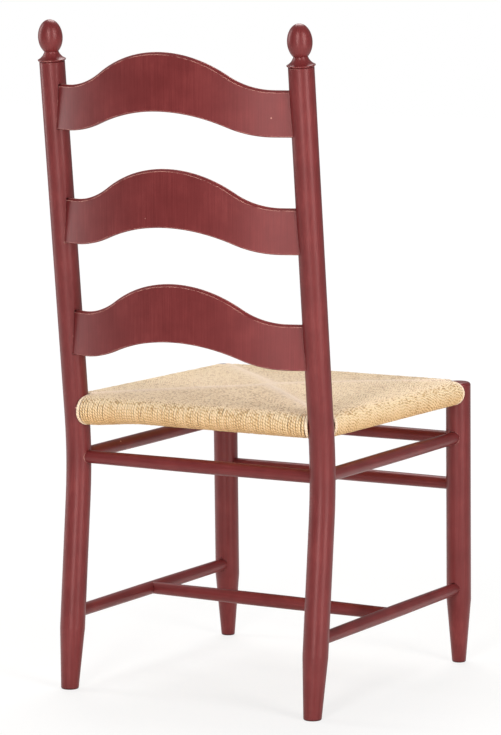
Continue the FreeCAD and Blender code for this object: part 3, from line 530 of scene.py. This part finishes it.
def windSide(side, seed):
    # All the turns on one rail: turn i sits at its own s, and its tube is the path plus a ring.
    # Ring: point k = path + r (cos k along the rail + sin k away from the path in its own plane).
    random = np.random.default_rng(seed)
    place = sides[side]
    length = place["half"] - rush["rollEnd"]
    count = int(round(2 * length / rush["pitch"]))
    s = -length + (np.arange(count) + 0.5) * 2 * length / count
    s[0] -= rush["endGap"]
    s[-1] += rush["endGap"]
    depth = seamDepth(side, s) + random.normal(0, rush["strayDepth"], count)
    inset = random.normal(0, rush["strayHeight"], count)[:, None]
    d, z = loopPath(side, s, depth, inset)
    steps = d.shape[1]
    wander = random.normal(0, 1, (count, 4))
    phase = np.linspace(0, 1, steps)[None, :]
    sway = rush["sway"] * (wander[:, :1] * np.sin(2 * math.pi * phase * 1.5 + wander[:, 1:2] * 3)
                           + wander[:, 2:3] * np.sin(2 * math.pi * phase * 4 + wander[:, 3:] * 3))
    tangentD = np.gradient(d, axis=1)
    tangentZ = np.gradient(z, axis=1)
    size = np.hypot(tangentD, tangentZ)
    outD, outZ = -tangentZ / size, tangentD / size
    thick = rush["cord"] / 2 * (1 + random.normal(0, rush["strayThick"], (count, 1)))
    ends = np.minimum(np.arange(count), count - 1 - np.arange(count))[:, None]
    thick = thick * np.where(ends == 0, rush["lastThick"], 1.0)
    ring = np.linspace(0, 2 * math.pi, rush["ringSides"], endpoint=False)[None, None, :]
    outer = np.clip(-d / rush["rollRadius"], 0, 1)
    fromEnd = length - np.abs(s[:, None])
    lean = rush["lean"] * np.sign(s[:, None]) * np.exp(-fromEnd / rush["leanOver"]) * outer
    sAll = (s[:, None] + sway + lean)[:, :, None] + thick[:, :, None] * np.cos(ring)
    dAll = d[:, :, None] + thick[:, :, None] * np.sin(ring) * outD[:, :, None]
    zAll = z[:, :, None] + thick[:, :, None] * np.sin(ring) * outZ[:, :, None]
    points = toRoom(side, sAll, dAll, zAll).reshape(-1, 3)

    sidesCount = rush["ringSides"]
    index = np.arange(count * steps * sidesCount).reshape(count, steps, sidesCount)
    piece = newPiece("rush_" + side, points, tubeFaces(index), rushCord)
    layCordWay(piece, d, z, random.uniform(0, 0.1, (count, 1)))

    # each turn's own tone about its side's painted-light paleness, brighter on the last turn of a roll
    tone = random.normal(0.5 + place["paintedLightPaleness"], 0.2, (count, 1, 1))
    tone = np.clip(tone + np.where(ends == 0, rush["lastPale"], 0)[:, :, None], 0, 1)
    keepOnPoints(piece, "cordTone", np.broadcast_to(tone, index.shape))
    # the turns are rubbed pale where they rise to the seam, painted paler there also as a highlight on the
    # seam's ridge
    rubbed = np.exp(-np.clip(depth[:, None] - d, 0, None) / rush["paleOver"]) * (z > rush["railUp"])
    rubbed = np.maximum(rubbed, np.where(ends == 0, rush["lastPale"], 0))
    keepOnPoints(piece, "seamPale", np.repeat(rubbed[:, :, None], sidesCount, axis=2))
    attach(piece, "root")
    return piece


cordLook = {
    "rubbed": "#fce6d0",
    "cream": "#f5ddb6",
    "straw": "#dcb885",
    "tan": "#a9824f",
    # painted shade between the cords and in the grooves between the plies
    "grooveShade": "#6a4926",
    # the roll is tinted more golden towards its lower part, by height
    "gold": "#efc67c",
    "goldShare": 0.6,
    "goldHeights": (0.440, 0.412),
    # two-ply twist: one full turn of the plies every 8.6 mm
    "twist": 0.0086,
    # each cord is paler and browner by turns, every 6 mm or so, most of all on the flat of the seat
    "patchLength": 0.006,
    "patchHeights": (0.432, 0.444),
    "patchRange": (0.25, 3.2),
    # flecks of fibre 3 mm long and clouds of 70 mm: per metre
    "fleckScale": 330.0,
    "cloudScale": 14.0,
    # how much fleck, cloud, the cord's own tone and the roundness of its plies (painted light on the crests)
    # count, and their sum's range
    "fleckShare": 1.6,
    "cloudShare": 0.30,
    "toneRange": (0.74, 1.74),
    "ownShare": 0.3,
    "plyLightAndShadeShare": 0.46,
    # how strongly the grooves between the plies get painted shade
    "grooveShadeShare": 0.34,
    # the flat of the seat is rubbed paler by sitting
    "rubHeights": (0.441, 0.4505),
    "rubShare": 0.3,
    # the cords are rubbed paler still by the seams, partly a painted highlight on the ridge, and have no dirt
    # or painted shade there
    "seamPaleAndHighlightShare": 0.85,
    # depth of the plies' relief
    "relief": 0.0009,
}


def makeRushCord(name):
    # Twisted fibre cord: each turn is two plies laid round each other, painted with light on the crests and
    # painted shade in the grooves, matt and dry, with tan flecks of fibre.
    material, tree = newMaterial(name)
    uv = addNode(tree, "ShaderNodeUVMap", {"uv_map": "cordWay"})
    parts = addNode(tree, "ShaderNodeSeparateXYZ", Vector=uv.outputs[0])
    # ply = |sin 2 pi (way along / twist + way round)|: 1 on a ply's crest, 0 in the groove between two
    lay = addNode(tree, "ShaderNodeMath", {"operation": "MULTIPLY", 1: 1 / cordLook["twist"]},
                  _0=parts.outputs["X"])
    twist = addNode(tree, "ShaderNodeMath", {"operation": "ADD"}, _0=lay.outputs[0], _1=parts.outputs["Y"])
    angle = addNode(tree, "ShaderNodeMath", {"operation": "MULTIPLY", 1: 2 * math.pi}, _0=twist.outputs[0])
    wave = addNode(tree, "ShaderNodeMath", {"operation": "SINE"}, _0=angle.outputs[0])
    ply = addNode(tree, "ShaderNodeMath", {"operation": "ABSOLUTE"}, _0=wave.outputs[0])
    where = addNode(tree, "ShaderNodeTexCoord").outputs["Object"]
    fleck = addNode(tree, "ShaderNodeTexNoise",
                    {"Scale": cordLook["fleckScale"], "Detail": 4.0, "Roughness": 0.7}, Vector=where)
    cloud = addNode(tree, "ShaderNodeTexNoise", {"Scale": cordLook["cloudScale"], "Detail": 2.0}, Vector=where)
    own = addNode(tree, "ShaderNodeAttribute", {"attribute_name": "cordTone"})
    # patches run along one cord and differ from cord to cord
    along = addNode(tree, "ShaderNodeMath", {"operation": "MULTIPLY", 1: 1 / cordLook["patchLength"]},
                    _0=parts.outputs["X"])
    which = addNode(tree, "ShaderNodeMath", {"operation": "MULTIPLY", 1: 97.0}, _0=own.outputs["Fac"])
    patchPlace = addNode(tree, "ShaderNodeCombineXYZ", X=along.outputs[0], Y=which.outputs[0])
    patch = addNode(tree, "ShaderNodeTexNoise", {"Scale": 1.0, "Detail": 2.0}, Vector=patchPlace.outputs[0])
    specks = addNode(tree, "ShaderNodeMath", {"operation": "MULTIPLY", 1: cordLook["fleckShare"]},
                     _0=fleck.outputs[0])
    tone = addNode(tree, "ShaderNodeMath", {"operation": "MULTIPLY_ADD", 1: cordLook["ownShare"]},
                   _0=own.outputs["Fac"], _2=specks.outputs[0])
    spot = addNode(tree, "ShaderNodeSeparateXYZ", Vector=where)
    low, high = cordLook["patchHeights"]
    least, most = cordLook["patchRange"]
    mottled = addNode(tree, "ShaderNodeMapRange",
                      {"From Min": low, "From Max": high, "To Min": least, "To Max": most},
                      Value=spot.outputs["Z"])
    centred = addNode(tree, "ShaderNodeMath", {"operation": "SUBTRACT", 1: 0.5}, _0=patch.outputs[0])
    tone = addNode(tree, "ShaderNodeMath", {"operation": "MULTIPLY_ADD"},
                   _0=centred.outputs[0], _1=mottled.outputs[0], _2=tone.outputs[0])
    # painted highlight: the crests of the plies are made paler
    tone = addNode(tree, "ShaderNodeMath", {"operation": "MULTIPLY_ADD", 1: cordLook["plyLightAndShadeShare"]},
                   _0=ply.outputs[0], _2=tone.outputs[0])
    tone = addNode(tree, "ShaderNodeMath", {"operation": "MULTIPLY_ADD", 1: cordLook["cloudShare"]},
                   _0=cloud.outputs[0], _2=tone.outputs[0])
    darkest, palest = cordLook["toneRange"]
    level = addNode(tree, "ShaderNodeMapRange", {"From Min": darkest, "From Max": palest},
                    Value=tone.outputs[0])
    colour = ramp(tree, level.outputs[0], [(0.05, linear(cordLook["tan"])), (0.42, linear(cordLook["straw"])),
                                           (0.72, linear(cordLook["cream"]))])
    high, low = cordLook["goldHeights"]
    golden = addNode(tree, "ShaderNodeMapRange",
                     {"From Min": high, "From Max": low, "To Max": cordLook["goldShare"]},
                     Value=spot.outputs["Z"])
    colour = addNode(tree, "ShaderNodeMix",
                     {"data_type": "RGBA", "blend_type": "MULTIPLY", 7: linear(cordLook["gold"])},
                     _0=golden.outputs[0], _6=colour).outputs[2]
    low, high = cordLook["rubHeights"]
    sat = addNode(tree, "ShaderNodeMapRange",
                  {"From Min": low, "From Max": high, "To Max": cordLook["rubShare"]},
                  Value=spot.outputs["Z"])
    colour = addNode(tree, "ShaderNodeMix", {"data_type": "RGBA", 7: linear(cordLook["rubbed"])},
                     _0=sat.outputs[0], _6=colour).outputs[2]
    rubbed = addNode(tree, "ShaderNodeAttribute", {"attribute_name": "seamPale"})
    # no dirt or painted shade where the seam is rubbed pale
    freeOfDirtAndShade = addNode(tree, "ShaderNodeMath", {"operation": "SUBTRACT", 0: 1.0}, _1=rubbed.outputs["Fac"])
    rubbed = addNode(tree, "ShaderNodeMath", {"operation": "MULTIPLY", 1: cordLook["seamPaleAndHighlightShare"]},
                     _0=rubbed.outputs["Fac"])
    colour = addNode(tree, "ShaderNodeMix", {"data_type": "RGBA", 7: linear(cordLook["rubbed"])},
                     _0=rubbed.outputs[0], _6=colour).outputs[2]
    # painted shade between the cords, where ambient occlusion finds them shut in, and in the grooves between
    # the plies of one cord
    hollow = addNode(tree, "ShaderNodeAmbientOcclusion", {"samples": 4, "Distance": 0.003})
    dirt = addNode(tree, "ShaderNodeMapRange", {"From Min": 0.68, "From Max": 0.15, "To Max": 0.75},
                   Value=hollow.outputs["AO"])
    between = addNode(tree, "ShaderNodeMapRange",
                      {"From Min": 0.34, "From Max": 0.08, "To Max": cordLook["grooveShadeShare"]},
                      Value=ply.outputs[0])
    dirt = addNode(tree, "ShaderNodeMath", {"operation": "MAXIMUM"},
                   _0=dirt.outputs[0], _1=between.outputs[0])
    dirt = addNode(tree, "ShaderNodeMath", {"operation": "MULTIPLY"}, _0=dirt.outputs[0], _1=freeOfDirtAndShade.outputs[0])
    shadedInGrooves = addNode(tree, "ShaderNodeMix", {"data_type": "RGBA", 7: linear(cordLook["grooveShade"])},
                      _0=dirt.outputs[0], _6=colour)
    relief = addNode(tree, "ShaderNodeMath", {"operation": "MULTIPLY_ADD", 1: 0.25},
                     _0=fleck.outputs[0], _2=ply.outputs[0])
    bump = addNode(tree, "ShaderNodeBump", {"Strength": 1.0, "Distance": cordLook["relief"]},
                   Height=relief.outputs[0])
    shader = addNode(tree, "ShaderNodeBsdfPrincipled", {"Roughness": 0.78, "IOR": 1.45, "Sheen Weight": 0.15,
                                                        "Sheen Roughness": 0.5},
                     Base__Color=shadedInGrooves.outputs[2], Normal=bump.outputs[0])
    finishMaterial(tree, shader.outputs[0])
    return material


rushCord = makeRushCord("twisted rush cord")
windings = [windSide(side, 11 + number) for number, side in enumerate(sides)]
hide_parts("rush_seat")  # the plain seat solid
print("rush wound:", sum(len(piece.data.polygons) for piece in windings), "faces")


pad = {
    "pale": "#b8935f",
    "dark": "#8d6a42",
    "inset": 0.0026,
    "endInset": 0.001,
    "slices": 61,
}


def padSide(side):
    # stuffing under the cord: the same path further in, as one closed skin along the rail
    place = sides[side]
    length = place["half"] - rush["rollEnd"] - pad["endInset"]
    s = np.linspace(-length, length, pad["slices"])
    depth = seamDepth(side, s)
    d, z = loopPath(side, s, depth, np.full((len(s), 1), pad["inset"]))
    sAll = np.repeat(s[:, None], d.shape[1], axis=1)
    points = toRoom(side, sAll, d, z).reshape(-1, 3)
    index = np.arange(d.size).reshape(d.shape)
    after = np.roll(index, -1, axis=1)
    quads = np.stack([index[:-1], index[1:], after[1:], after[:-1]], axis=-1).reshape(-1, 4)
    return points, quads, index[0], index[-1, ::-1]


def padSeat():
    points, faces, base = [], [], 0
    for side in sides:
        cloud, quads, near, far = padSide(side)
        points.append(cloud)
        faces += (quads + base).tolist() + [(near + base).tolist(), (far + base).tolist()]
        base += len(cloud)
    piece = newPiece("rush_padding", np.vstack(points), faces, stuffing)
    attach(piece, "root")
    return piece


def makeStuffing(name):
    # shredded fibre packed between the layers of cord: dull brown, seen only in gaps
    material, tree = newMaterial(name)
    where = addNode(tree, "ShaderNodeTexCoord").outputs["Object"]
    fleck = addNode(tree, "ShaderNodeTexNoise", {"Scale": 400.0, "Detail": 3.0}, Vector=where)
    colour = ramp(tree, fleck.outputs[0], [(0.3, linear(pad["dark"])), (0.7, linear(pad["pale"]))])
    shader = addNode(tree, "ShaderNodeBsdfPrincipled", {"Roughness": 0.9, "IOR": 1.45}, Base__Color=colour)
    finishMaterial(tree, shader.outputs[0])
    return material


stuffing = makeStuffing("fibre stuffing")
padSeat()
print("seat padded")

scene.view_settings.view_transform = "Standard"
